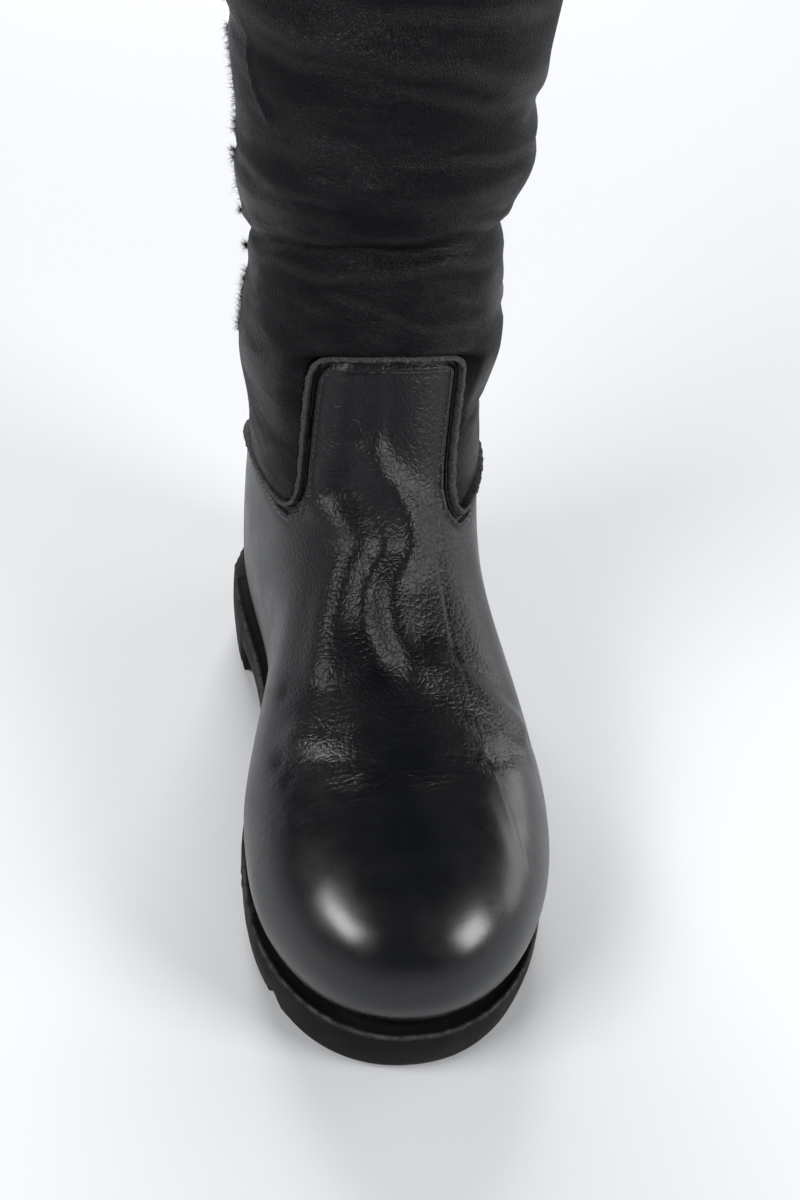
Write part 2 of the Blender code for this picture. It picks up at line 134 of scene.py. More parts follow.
dimmer.interpolation_type = "SMOOTHSTEP"
dimmer.inputs["From Max"].default_value = ROOM_DIM_ABOVE
dimmer.inputs["To Min"].default_value = ROOM_LOW
dimmer.inputs["To Max"].default_value = ROOM_HIGH
room_tree.links.new(way_out.outputs["Generated"], way_parts.inputs["Vector"])
room_tree.links.new(way_parts.outputs["Z"], dimmer.inputs["Value"])
room_tree.links.new(dimmer.outputs["Result"], room_tree.nodes["Background"].inputs["Strength"])
bpy.context.scene.world = room
for name, x, y, z, wide, high, watts in SOFT_BOXES[1:]:
    lamp = bpy.data.lights.new("soft box " + name, "AREA")
    lamp.shape = "RECTANGLE"
    lamp.size, lamp.size_y = wide, high
    lamp.energy = watts
    holder = bpy.data.objects.new("soft box " + name, lamp)
    holder.location = (x, y, z)
    holder.rotation_euler = (LIGHT_TARGET - holder.location).to_track_quat("-Z", "Y").to_euler()
    bpy.context.scene.collection.objects.link(holder)
bpy.context.scene.view_settings.view_transform = "Standard"

# Outsole
# One moulded rubber unit: side wall, ledge, heel and the lugs round the edge. Matt, a little warmer than the
# leather, with a rough painted highlight as a lighter line along the rim's top edge.
RUBBER_COLOUR = (0.0058, 0.0056, 0.0053, 1)
RUBBER_DUST = (0.018, 0.0172, 0.016, 1)
# Painted highlight: the lighter colour and the half width of the line along the rim's top edge.
RIM_HIGHLIGHT_COLOUR = (0.085, 0.082, 0.077, 1)
RIM_HIGHLIGHT_HALF = 0.0009
OUTSOLE_SHARP = math.radians(28)
OUTSOLE_EDGE_LIMIT = 0.0024
LEDGE_CHANNEL_GAP = 0.0030
LEDGE_CHANNEL_DEPTH = 0.0005
LEDGE_CHANNEL_HALF = 0.0007
RIM_WOBBLE = 0.00018
RIM_WOBBLE_HALF = 0.0016
RUBBER_ROUGHNESS = 0.62
RUBBER_SHINE = 0.08
RUBBER_SPECKLE_MM = 0.10
RUBBER_RUBS_MM = 0.14
GROUND_CLEAR = 0.004


def node_shape(node, face_limit=80, steps=((120, 2.0), (180, 0.0))):
    """The CAD node's own surface, with its triangles paired up into quads."""
    shape = bmesh.new()
    shape.from_mesh(bpy.data.objects[node].data)
    bmesh.ops.remove_doubles(shape, verts=shape.verts, dist=1e-6)
    for shape_limit, order in steps:
        bmesh.ops.join_triangles(
            shape,
            faces=shape.faces,
            angle_face_threshold=math.radians(face_limit),
            angle_shape_threshold=math.radians(shape_limit),
            topology_influence=order,
        )
    return shape


def piece_from_shape(shape, name):
    """A new piece with the shape as its mesh."""
    mesh = bpy.data.meshes.new(name)
    shape.to_mesh(mesh)
    shape.free()
    piece = bpy.data.objects.new(name, mesh)
    bpy.context.scene.collection.objects.link(piece)
    mesh.shade_smooth()
    return piece


def settle(piece):
    """Applies the piece's modifiers to its mesh."""
    graph = bpy.context.evaluated_depsgraph_get()
    mesh = bpy.data.meshes.new_from_object(piece.evaluated_get(graph), depsgraph=graph)
    piece.modifiers.clear()
    piece.data = mesh
    mesh.shade_smooth()


def subdivide(piece, levels):
    rounder = piece.modifiers.new("round", "SUBSURF")
    rounder.levels = rounder.render_levels = levels
    rounder.use_creases = True
    settle(piece)


def crease_sharp_edges(shape, limit):
    """Keeps the edges that turn more than a limit from being rounded away."""
    creases = shape.edges.layers.float.new("crease_edge")
    for edge in shape.edges:
        if len(edge.link_faces) == 2 and edge.calc_face_angle(0) > limit:
            edge[creases] = 0.85


def split_long_edges(piece, limit, chosen):
    """Halves the edges over a length until none is left, where the test on both ends allows it."""
    shape = bmesh.new()
    shape.from_mesh(piece.data)
    for turn in range(5):
        long_edges = [
            edge
            for edge in shape.edges
            if edge.calc_length() > limit and chosen(shape, edge.verts[0]) and chosen(shape, edge.verts[1])
        ]
        if long_edges:
            bmesh.ops.subdivide_edges(shape, edges=long_edges, cuts=1, use_grid_fill=True)
    shape.to_mesh(piece.data)
    shape.free()
    piece.data.shade_smooth()


def surface_data(piece):
    """Places and outward directions of the piece's points, as two arrays."""
    count = len(piece.data.vertices)
    places, outward = np.empty(count * 3), np.empty(count * 3)
    piece.data.vertices.foreach_get("co", places)
    piece.data.vertices.foreach_get("normal", outward)
    return places.reshape(-1, 3), outward.reshape(-1, 3)


def move_points(piece, places):
    piece.data.vertices.foreach_set("co", np.ascontiguousarray(places, dtype=np.float32).ravel())
    piece.data.update()


def paint(piece, name, values):
    """Stores one number per point of the piece, for its material to read."""
    layer = piece.data.attributes.get(name) or piece.data.attributes.new(name, "FLOAT", "POINT")
    layer.data.foreach_set("value", np.ascontiguousarray(values, dtype=np.float32))


def near_runs(places, starts, ends):
    """Distance from each place to the nearest of some straight runs."""
    best = np.full(len(places), 9.0)
    for start, end in zip(starts, ends):
        run = end - start
        share = np.clip((places - start) @ run / (run @ run), 0, 1)
        best = np.minimum(best, np.linalg.norm(places - start - share[:, None] * run, axis=1))
    return best


def soft(distance, half):
    """1 on a line and falling softly to 0 beside it."""
    return np.exp(-((distance / half) ** 2))


def ease(share):
    share = np.clip(share, 0, 1)
    return share * share * (3 - 2 * share)


def new_material(name, colour, roughness):
    """A material and its shader, with plain values on the shader's own sockets."""
    material = bpy.data.materials.new(name)
    material.use_nodes = True
    shader = material.node_tree.nodes["Principled BSDF"]
    shader.inputs["Base Color"].default_value = colour
    shader.inputs["Roughness"].default_value = roughness
    return material, shader


def add_node(tree, kind, settings=(), **inputs):
    """A node with its settings, and each input set to a value or joined to another node's output."""
    made = tree.nodes.new(kind)
    for key, value in dict(settings).items():
        setattr(made, key, value)
    for key, value in inputs.items():
        numbered = key[0] == "i" and key[1:].isdigit()
        place = made.inputs[int(key[1:]) if numbered else key.replace("_", " ")]
        if isinstance(value, bpy.types.NodeSocket):
            tree.links.new(value, place)
        else:
            place.default_value = value
    return made


def maths(tree, operation, first, second=0.0):
    return add_node(tree, "ShaderNodeMath", {"operation": operation}, i0=first, i1=second).outputs[0]


def remap(tree, value, low_in, high_in, low_out, high_out):
    """The value moved softly from one span to another, and held at the ends."""
    made = add_node(tree, "ShaderNodeMapRange", {"interpolation_type": "SMOOTHSTEP"}, Value=value)
    keys = ("From Min", "From Max", "To Min", "To Max")
    for key, number in zip(keys, (low_in, high_in, low_out, high_out)):
        made.inputs[key].default_value = number
    return made.outputs["Result"]


def mix_colours(tree, share, first, second):
    return add_node(tree, "ShaderNodeMix", {"data_type": "RGBA"}, i0=share, i6=first, i7=second).outputs[2]


def painted(tree, name):
    return add_node(tree, "ShaderNodeAttribute", {"attribute_name": name}).outputs["Fac"]


def noise(tree, where, scale, detail=3.0, rough=0.6):
    made = add_node(tree, "ShaderNodeTexNoise", Vector=where, Scale=scale, Detail=detail, Roughness=rough)
    return made.outputs["Fac"]


def raise_surface(tree, shader, millimetres):
    """Joins a height in millimetres to the shader as a bump."""
    bump = add_node(tree, "ShaderNodeBump", Height=millimetres, Strength=1.0, Distance=0.001)
    tree.links.new(bump.outputs["Normal"], shader.inputs["Normal"])


def rim_runs(shape):
    """The runs of the outsole's top outer edge, where the ledge meets the side wall."""
    starts, ends = [], []
    for edge in shape.edges:
        ups = sorted(face.normal.z for face in edge.link_faces)
        if len(ups) == 2 and ups[1] > 0.7 and abs(ups[0]) < 0.5:
            starts.append(edge.verts[0].co[:])
            ends.append(edge.verts[1].co[:])
    return np.array(starts), np.array(ends)


outsole_shape = node_shape("outsole", 50, ((70, 0.0),))
outsole_shape.normal_update()
rim_starts, rim_ends = rim_runs(outsole_shape)
crease_sharp_edges(outsole_shape, OUTSOLE_SHARP)
outsole = piece_from_shape(outsole_shape, "rubber_outsole")
subdivide(outsole, 2)
split_long_edges(outsole, OUTSOLE_EDGE_LIMIT, lambda shape, vert: vert.co.z > GROUND_CLEAR)
places, outward = surface_data(outsole)
rim_gap = near_runs(places, rim_starts, rim_ends)
on_ledge = np.clip(outward[:, 2], 0, 1)
channel = soft(rim_gap - LEDGE_CHANNEL_GAP, LEDGE_CHANNEL_HALF) * on_ledge
wobble = np.sin(places[:, 0] * 410) * np.sin(places[:, 1] * 530 + 1.0) + np.sin(places[:, 1] * 1270)
push = RIM_WOBBLE * wobble * soft(rim_gap, RIM_WOBBLE_HALF) - LEDGE_CHANNEL_DEPTH * channel
move_points(outsole, places + push[:, None] * outward)
# The rim mask marks where the painted highlight lies along the rim's top outer edge.
paint(outsole, "rim", soft(rim_gap, RIM_HIGHLIGHT_HALF))

rubber, rubber_shader = new_material("moulded rubber", RUBBER_COLOUR, RUBBER_ROUGHNESS)
tree = rubber.node_tree
place = add_node(tree, "ShaderNodeTexCoord").outputs["Object"]
speckle = noise(tree, place, 900.0, 4.0, 0.7)
cloud = noise(tree, place, 38.0, 6.0, 0.65)
rubs = noise(tree, place, 260.0, 5.0, 0.75)
dusty = mix_colours(tree, remap(tree, cloud, 0.50, 0.78, 0.0, 0.55), RUBBER_COLOUR, RUBBER_DUST)
# Painted highlight: the rim is mixed toward a lighter colour, broken up by the rubs noise.
rim_highlight_share = maths(tree, "MULTIPLY", painted(tree, "rim"), remap(tree, rubs, 0.38, 0.62, 0.15, 0.9))
tree.links.new(mix_colours(tree, rim_highlight_share, dusty, RIM_HIGHLIGHT_COLOUR), rubber_shader.inputs["Base Color"])
tree.links.new(remap(tree, cloud, 0.3, 0.7, 0.52, 0.74), rubber_shader.inputs["Roughness"])
rubber_shader.inputs["Specular IOR Level"].default_value = RUBBER_SHINE
height = maths(tree, "MULTIPLY", speckle, RUBBER_SPECKLE_MM)
height = maths(tree, "ADD", height, maths(tree, "MULTIPLY", rubs, RUBBER_RUBS_MM))
raise_surface(tree, rubber_shader, height)
outsole.data.materials.clear()
outsole.data.materials.append(rubber)
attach(outsole, "root")
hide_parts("outsole")

# Foot upper
# Vamp, quarters and front panel of black grain leather, lasted over the foot in one. The toe is polished
# smooth; the instep is pebbled and creased where the foot bends; the edge is turned down and stitched.
LEATHER_COLOUR = (0.0022, 0.0026, 0.0033, 1)
LEATHER_RUBBED = (0.0160, 0.0166, 0.0178, 1)
LINING_COLOUR = (0.014, 0.0135, 0.013, 1)
THREAD_COLOUR = (0.020, 0.021, 0.022, 1)
FOOT_SPINE = (
    (0, -0.232, 0.046),
    (0, -0.170, 0.055),
    (0, -0.095, 0.078),
    (0, -0.045, 0.125),
    (0, -0.042, 0.30),
)
SHARP_EDGE = math.radians(60)
EDGE_GROOVE_WIDTH = 0.0017
EDGE_GROOVE_DEPTH = 0.0014
EDGE_GROOVE_FADE = 0.0008
STITCH_GAP = 0.0040
HEM_RISE = 0.00035
HEM_GAP = 0.0032
HEM_HALF = 0.0009
HEM_DIP = 0.00030
HEM_DIP_GAP = 0.0056
HEM_DIP_HALF = 0.0012
STITCH_PITCH = 0.0030
STITCH_LENGTH = 0.0021
STITCH_RADIUS = 0.00030
SEAM_REACH = 0.0032
SEAM_FINE_REACH = 0.0065
SEAM_FINE_EDGE = 0.0010
VAMP_FOLD_STRENGTH = 1.15
VAMP_FOLD_WIDTH = 1.35
TOE_SMOOTH_FROM = -0.215
TOE_SMOOTH_TO = -0.165
SIDE_CALM = 0.6
SIDE_CALM_START = 0.026
SIDE_CALM_FADE = 0.022
SIDE_CALM_TOP = 0.135
SIDE_CALM_TOP_FADE = 0.03
BEND_AT = -0.183
BEND_HALF = 0.016
SECOND_BEND_AT = -0.203
SECOND_BEND_HALF = 0.010
SECOND_BEND_SHARE = 0.8
PEBBLE_CELLS = 400.0
PEBBLE_MM = 0.105
FURROW_CELLS = 480.0
FURROW_MM = 0.11
WRINKLE_MM = 0.32
PORE_MM = 0.012
TOE_SHINE = 0.5
PEBBLE_LOST_SHINE = 0.22
PEBBLE_ROUGHNESS = 0.13

# Soft ridges and troughs of the vamp and the front panel: height in metres (a minus is a trough), half
# width, and the points that the line runs through.
VAMP_FOLDS = (
    ("name", "rise", "half", "points"),
    (
        "inner column",
        0.0021,
        0.0065,
        ((-0.014, -0.094, 0.177), (-0.017, -0.097, 0.158), (-0.021, -0.101, 0.140)),
    ),
    (
        "panel valley",
        -0.0011,
        0.0045,
        ((-0.008, -0.096, 0.174), (-0.009, -0.100, 0.155), (-0.012, -0.103, 0.143)),
    ),
    ("panel bulge", 0.0009, 0.0090, ((0.009, -0.096, 0.172), (0.011, -0.099, 0.155))),
    (
        "wave ridge",
        0.0023,
        0.0046,
        (
            (-0.0075, -0.103, 0.148),
            (-0.001, -0.107, 0.140),
            (0.008, -0.114, 0.127),
            (0.009, -0.121, 0.118),
            (0.000, -0.132, 0.109),
            (0.001, -0.147, 0.0995),
            (0.006, -0.158, 0.0925),
        ),
    ),
    (
        "wave valley",
        -0.0023,
        0.0044,
        (
            (-0.0155, -0.106, 0.136),
            (-0.005, -0.1135, 0.129),
            (-0.001, -0.1215, 0.119),
            (-0.0095, -0.132, 0.1085),
            (-0.011, -0.142, 0.101),
            (-0.006, -0.1575, 0.0927),
        ),
    ),
    (
        "slanting ridge",
        0.0014,
        0.0040,
        ((-0.028, -0.101, 0.126), (-0.016, -0.1135, 0.123), (-0.008, -0.119, 0.119)),
    ),
    (
        "inner ridge",
        0.0023,
        0.0058,
        ((-0.016, -0.1256, 0.112), (-0.0225, -0.138, 0.0986), (-0.0266, -0.153, 0.0894)),
    ),
    (
        "inner trough",
        -0.0010,
        0.0032,
        ((-0.039, -0.153, 0.078), (-0.025, -0.1605, 0.087), (-0.013, -0.163, 0.090)),
    ),
    (
        "inner swell",
        0.0013,
        0.0052,
        ((-0.0366, -0.175, 0.0768), (-0.0288, -0.1805, 0.080), (-0.020, -0.184, 0.0815)),
    ),
    (
        "bend line",
        -0.0010,
        0.0030,
        (
            (-0.043, -0.180, 0.069),
            (-0.0395, -0.1835, 0.073),
            (-0.0205, -0.191, 0.080),
            (-0.0094, -0.1966, 0.081),
            (0.006, -0.2005, 0.080),
            (0.0146, -0.197, 0.080),
            (0.0376, -0.1864, 0.073),
            (0.0525, -0.165, 0.059),
        ),
    ),
    (
        "second bend line",
        -0.0007,
        0.0024,
        ((-0.040, -0.190, 0.070), (-0.020, -0.198, 0.078), (-0.006, -0.203, 0.078)),
    ),
    ("outer fan", 0.0019, 0.0056, ((0.016, -0.159, 0.0906), (0.032, -0.166, 0.082), (0.046, -0.171, 0.069))),
    (
        "above the fan",
        -0.0009,
        0.0036,
        ((0.011, -0.148, 0.098), (0.029, -0.154, 0.089), (0.044, -0.158, 0.075)),
    ),
    (
        "below the fan",
        -0.0008,
        0.0034,
        ((0.014, -0.171, 0.087), (0.030, -0.178, 0.080), (0.045, -0.181, 0.068)),
    ),
    (
        "heel crease",
        -0.0006,
        0.0050,
        ((-0.036, -0.02, 0.085), (-0.020, 0.002, 0.082), (0.015, 0.004, 0.082)),
    ),
    (
        "ankle crease",
        -0.0007,
        0.0055,
        ((0.036, -0.070, 0.095), (0.040, -0.090, 0.078), (0.046, -0.115, 0.062)),
    ),
)


def nearest_on_spine(places, spine):
    """For each place, the nearest point of the line that runs inside a hollow piece."""
    best = np.full(len(places), 9.0)
    nearest = np.zeros_like(places)
    for start, end in zip(np.array(spine, float)[:-1], np.array(spine, float)[1:]):
        run = end - start
        share = np.clip((places - start) @ run / (run @ run), 0, 1)
        point = start + share[:, None] * run
        gap = np.linalg.norm(places - point, axis=1)
        nearest = np.where((gap < best)[:, None], point, nearest)
        best = np.minimum(best, gap)
    return nearest


def faces_outward(places, ways, spine):
    """1 where a direction points straight out of a hollow piece, minus 1 where it points in."""
    away = places - nearest_on_spine(places, spine)
    away /= np.linalg.norm(away, axis=1, keepdims=True)
    return (away * ways).sum(1)


def shell_piece(node, name, spine, outside_levels, inside_levels):
    """A hollow leather piece: fine outside and edges, and a coarser inside with material 1."""
    halves = []
    for inside, levels in ((False, outside_levels), (True, inside_levels)):
        shape = node_shape(node)
        shape.normal_update()
        crease_sharp_edges(shape, SHARP_EDGE)
        middles = np.array([face.calc_center_median()[:] for face in shape.faces])
        ways = np.array([face.normal[:] for face in shape.faces])
        turned_in = faces_outward(middles, ways, spine) < -0.3
        faces = [face for face, away in zip(shape.faces, turned_in) if away != inside]
        bmesh.ops.delete(shape, geom=faces, context="FACES")
        half = piece_from_shape(shape, name)
        subdivide(half, levels)
        places, outward = surface_data(half)
        paint(half, "outside", np.full(len(places), 0.0 if inside else 1.0))
        half.data.polygons.foreach_set("material_index", [int(inside)] * len(half.data.polygons))
        halves.append(half)
    whole = bmesh.new()
    for half in halves:
        whole.from_mesh(half.data)
        bpy.data.objects.remove(half)
    return piece_from_shape(whole, name)


def seam_edge(node, beside, spine):
    """The runs of a foot piece's top edge beside the seam lip, and the way from each into the leather."""
    lip = node_shape(beside)
    lip_starts = np.array([edge.verts[0].co[:] for edge in lip.edges])
    lip_ends = np.array([edge.verts[1].co[:] for edge in lip.edges])
    lip.free()
    shape = node_shape(node)
    shape.normal_update()
    edge_middles = np.array([((edge.verts[0].co + edge.verts[1].co) / 2)[:] for edge in shape.edges])
    lip_gaps = near_runs(edge_middles, lip_starts, lip_ends)
    runs = []
    for edge, lip_gap in zip(shape.edges, lip_gaps):
        if len(edge.link_faces) < 2 or lip_gap > SEAM_REACH:
            continue
        middles = np.array([face.calc_center_median()[:] for face in edge.link_faces])
        ways = np.array([face.normal[:] for face in edge.link_faces])
        facing = faces_outward(middles, ways, spine)
        if edge.calc_face_angle() > SHARP_EDGE * 0.7 and facing.max() > 0.6 and facing.min() > -0.6:
            start, end = (np.array(vert.co) for vert in edge.verts)
            along = (end - start) / np.linalg.norm(end - start)
            inward = middles[facing.argmax()] - (start + end) / 2
            inward -= (inward @ along) * along
            runs.append((start, end, inward / np.linalg.norm(inward)))
    shape.free()
    return [np.array(part) for part in zip(*runs)]


def surface_tree(piece):
    shape = bmesh.new()
    shape.from_mesh(piece.data)
    found = BVHTree.FromBMesh(shape)
    shape.free()
    return found


def bead_mesh(name, places, alongs, outwards, length, radius):
    """Many small lying beads in one mesh: stitches of a seam."""
    rings = ((-0.5, 0.45), (-0.30, 0.95), (0.0, 1.0), (0.30, 0.95), (0.5, 0.45))
    sides = 6
    verts, faces = [], []
    for place, along, out in zip(places, alongs, outwards):
        across = np.cross(along, out)
        base = len(verts)
        for shift, width in rings:
            for turn in range(sides):
                angle = turn / sides * 2 * math.pi
                ring = across * math.cos(angle) + out * math.sin(angle)
                verts.append(place + along * length * shift + ring * radius * width)
        for row in range(len(rings) - 1):
            for turn in range(sides):
                low, after = base + row * sides + turn, base + row * sides + (turn + 1) % sides
                faces.append((low, after, after + sides, low + sides))
        faces.append([base + turn for turn in range(sides)])
        faces.append([base + (len(rings) - 1) * sides + turn for turn in reversed(range(sides))])
    mesh = bpy.data.meshes.new(name)
    mesh.from_pydata([tuple(vert) for vert in verts], [], faces)
    mesh.update()
    mesh.shade_smooth()
    piece = bpy.data.objects.new(name, mesh)
    bpy.context.scene.collection.objects.link(piece)
    return piece


def grain_group():
    """Pebbled grain as a height from 0 to 1: cells with soft furrows, and finer ones inside them."""
    group = bpy.data.node_groups.new("pebbled grain", "ShaderNodeTree")
    group.interface.new_socket("Vector", in_out="INPUT", socket_type="NodeSocketVector")
    group.interface.new_socket("Cells", in_out="INPUT", socket_type="NodeSocketFloat")
    group.interface.new_socket("Height", in_out="OUTPUT", socket_type="NodeSocketFloat")
    given = add_node(group, "NodeGroupInput")
    made = add_node(group, "NodeGroupOutput")
    where, cells = given.outputs["Vector"], given.outputs["Cells"]
    drift = add_node(group, "ShaderNodeTexNoise", Vector=where, Scale=120.0, Detail=1.0).outputs["Color"]
    drift = add_node(group, "ShaderNodeVectorMath", {"operation": "SUBTRACT"}, i0=drift, i1=(0.5, 0.5, 0.5))
    drift = drift.outputs[0]
    drift = add_node(group, "ShaderNodeVectorMath", {"operation": "SCALE"}, i0=drift, Scale=0.0012)
    bent = add_node(group, "ShaderNodeVectorMath", {"operation": "ADD"}, i0=where, i1=drift.outputs[0])
    bent = bent.outputs[0]
    kind = {"feature": "DISTANCE_TO_EDGE"}
    coarse = add_node(group, "ShaderNodeTexVoronoi", kind, Vector=bent, Scale=cells).outputs["Distance"]
    finer = maths(group, "MULTIPLY", cells, 2.3)
    fine = add_node(group, "ShaderNodeTexVoronoi", kind, Vector=bent, Scale=finer).outputs["Distance"]
    coarse = remap(group, coarse, 0.0, 0.34, 0.0, 1.0)
    coarse = maths(group, "MULTIPLY", coarse, maths(group, "SUBTRACT", 2.0, coarse))
    coarse = maths(group, "MULTIPLY", coarse, 0.90)
    fine = maths(group, "MULTIPLY", remap(group, fine, 0.0, 0.40, 0.0, 1.0), 0.10)
    group.links.new(maths(group, "ADD", coarse, fine), made.inputs["Height"])
    return group


def grain(tree, where, cells):
    made = add_node(tree, "ShaderNodeGroup", {"node_tree": pebbled_grain}, Vector=where, Cells=cells)
    return made.outputs["Height"]


pebbled_grain = grain_group()
edge_starts, edge_ends, edge_inward = seam_edge("foot_upper", "seam_lip", FOOT_SPINE)
upper = shell_piece("foot_upper", "grain_leather_foot", FOOT_SPINE, 3, 1)
places, outward = surface_data(upper)
paint(upper, "seam gap", near_runs(places, edge_starts, edge_ends))


def near_seam_outside(shape, vert):
    layers = shape.verts.layers.float
    return vert[layers["outside"]] > 0.5 and vert[layers["seam gap"]] < SEAM_FINE_REACH


split_long_edges(upper, SEAM_FINE_EDGE, near_seam_outside)
places, outward = surface_data(upper)
facing = np.where(faces_outward(places, outward, FOOT_SPINE) < -0.3, -1.0, 1.0)
seam_gap = near_runs(places, edge_starts, edge_ends)
push = np.zeros(len(places))
crease = np.zeros(len(places))
for name, rise, half, points in VAMP_FOLDS[1:]:
    points = np.array(points)
    share = soft(near_runs(places, points[:-1], points[1:]), half * VAMP_FOLD_WIDTH)
    push += rise * VAMP_FOLD_STRENGTH * share
    crease = np.maximum(crease, share)
on_surface = ease((faces_outward(places, outward, FOOT_SPINE) - 0.3) / 0.3)
push -= EDGE_GROOVE_DEPTH * (1 - ease((seam_gap - EDGE_GROOVE_WIDTH) / EDGE_GROOVE_FADE)) * on_surface
push += HEM_RISE * soft(seam_gap - HEM_GAP, HEM_HALF) * on_surface
push -= HEM_DIP * soft(seam_gap - HEM_DIP_GAP, HEM_DIP_HALF) * on_surface
move_points(upper, places + (push * facing)[:, None] * outward)
x, y, z = places.T
pebble = ease((y - TOE_SMOOTH_FROM) / (TOE_SMOOTH_TO - TOE_SMOOTH_FROM))
calm = ease((np.abs(x) - SIDE_CALM_START) / SIDE_CALM_FADE) * ease((SIDE_CALM_TOP - z) / SIDE_CALM_TOP_FADE)
pebble *= 1 - SIDE_CALM * calm
paint(upper, "pebble", pebble)
paint(upper, "crease", crease)
bend = soft(y - BEND_AT, BEND_HALF) * ease((z - 0.055) / 0.02)
second_bend = soft(y - SECOND_BEND_AT, SECOND_BEND_HALF) * ease((0.01 - x) / 0.03) * SECOND_BEND_SHARE
paint(upper, "bend", np.maximum(bend, second_bend))

leather, leather_shader = new_material("polished grain leather", LEATHER_COLOUR, 0.34)
tree = leather.node_tree
place = add_node(tree, "ShaderNodeTexCoord").outputs["Object"]
pebbles = maths(tree, "MULTIPLY", grain(tree, place, PEBBLE_CELLS), painted(tree, "pebble"))
lines = add_node(tree, "ShaderNodeMapping", Vector=place, Scale=(0.16, 1.0, 0.85)).outputs["Vector"]
wrinkles = maths(tree, "MULTIPLY", noise(tree, lines, 380.0, 1.5, 0.45), painted(tree, "bend"))
across = add_node(tree, "ShaderNodeMapping", Vector=place, Scale=(0.42, 1.0, 1.0)).outputs["Vector"]
furrows = maths(tree, "MULTIPLY", grain(tree, across, FURROW_CELLS), painted(tree, "crease"))
pores = noise(tree, place, 1500.0, 3.0, 0.6)
height = maths(tree, "MULTIPLY", pebbles, PEBBLE_MM)
height = maths(tree, "ADD", height, maths(tree, "MULTIPLY", wrinkles, WRINKLE_MM))
height = maths(tree, "ADD", height, maths(tree, "MULTIPLY", furrows, FURROW_MM))
height = maths(tree, "ADD", height, maths(tree, "MULTIPLY", pores, PORE_MM))
raise_surface(tree, leather_shader, height)
patches = noise(tree, place, 55.0, 5.0, 0.6)
scuffs = noise(tree, place, 700.0, 6.0, 0.8)
rubbed = remap(tree, patches, 0.5, 0.62, 0.0, 1.0)
rubbed = maths(tree, "MULTIPLY", remap(tree, scuffs, 0.62, 0.74, 0.0, 0.5), rubbed)
leather_tone = mix_colours(tree, rubbed, LEATHER_COLOUR, LEATHER_RUBBED)
tree.links.new(leather_tone, leather_shader.inputs["Base Color"])
lost_shine = maths(tree, "MULTIPLY", painted(tree, "pebble"), PEBBLE_LOST_SHINE)
shine = maths(tree, "SUBTRACT", TOE_SHINE, lost_shine)
tree.links.new(shine, leather_shader.inputs["Specular IOR Level"])
gloss = remap(tree, patches, 0.3, 0.7, 0.25, 0.34)
gloss = maths(tree, "ADD", gloss, maths(tree, "MULTIPLY", painted(tree, "pebble"), PEBBLE_ROUGHNESS))
tree.links.new(gloss, leather_shader.inputs["Roughness"])
lining = new_material("lining wool", LINING_COLOUR, 0.95)[0]
upper.data.materials.clear()
upper.data.materials.append(leather)
upper.data.materials.append(lining)
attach(upper, "root")
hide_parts("foot_upper")

tree_of_upper = surface_tree(upper)
stitch_places, stitch_ways, stitch_outs = [], [], []
for start, end, inward in zip(edge_starts, edge_ends, edge_inward):
    count = max(1, round(np.linalg.norm(end - start) / STITCH_PITCH))
    for step in range(count):
        middle = start + (end - start) * (step + 0.5) / count + inward * STITCH_GAP
        found, normal, _, _ = tree_of_upper.find_nearest(Vector(middle))
        stitch_places.append(np.array(found) + np.array(normal) * STITCH_RADIUS * 0.25)
        stitch_ways.append((end - start) / np.linalg.norm(end - start))
        stitch_outs.append(np.array(normal))
stitches = bead_mesh(
    "panel_edge_stitches", stitch_places, stitch_ways, stitch_outs, STITCH_LENGTH, STITCH_RADIUS
)
thread = new_material("waxed thread", THREAD_COLOUR, 0.5)[0]
stitches.data.materials.append(thread)
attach(stitches, "root")

# Shaft
# A tube of shearling: soft matt nappa outside, black wool inside, slack enough to fold over itself above the
# ankle. On the inner side the front skin's raw edge laps over the back one, and the wool shows along it.
SHEARLING_COLOUR = (0.0018, 0.0021, 0.0028, 1)
# Lighter tone for the worn clouds, also used for the painted highlight along the lapped raw edge.
SHEARLING_WEAR_AND_HIGHLIGHT = (0.0052, 0.0056, 0.0066, 1)
WOOL_COLOUR = (0.0055, 0.0052, 0.0050, 1)
LEG_AXIS = (0.001, -0.038)
SHAFT_SPINE = ((LEG_AXIS[0], LEG_AXIS[1], 0.08), (LEG_AXIS[0], LEG_AXIS[1], 0.60))
LAP_ANGLE = math.radians(-96)
LAP_LOW, LAP_HIGH = 0.160, 0.500
RAW_EDGE = (
    (-0.0515, -0.056, 0.300),
    (-0.0502, -0.0652, 0.2768),
    (-0.048, -0.068, 0.2677),
    (-0.0434, -0.0741, 0.2595),
)
RAW_EDGE_RISE = 0.0008
RAW_EDGE_HALF = 0.0013
SHAFT_FADE = 22.0
SHAFT_EDGE_LIMIT = 0.0030
CREASE_WANDER = 0.0012
CREASE_RIPPLE = 0.0007
COLLAR_CALM = 0.012
NAPPA_CELLS = 900.0
NAPPA_GRAIN_MM = 0.20
CRINKLE_MM = 0.80
CLOUD_MM = 0.9
NAPPA_PORE_MM = 0.012
CREASE_SHINE = 0.20

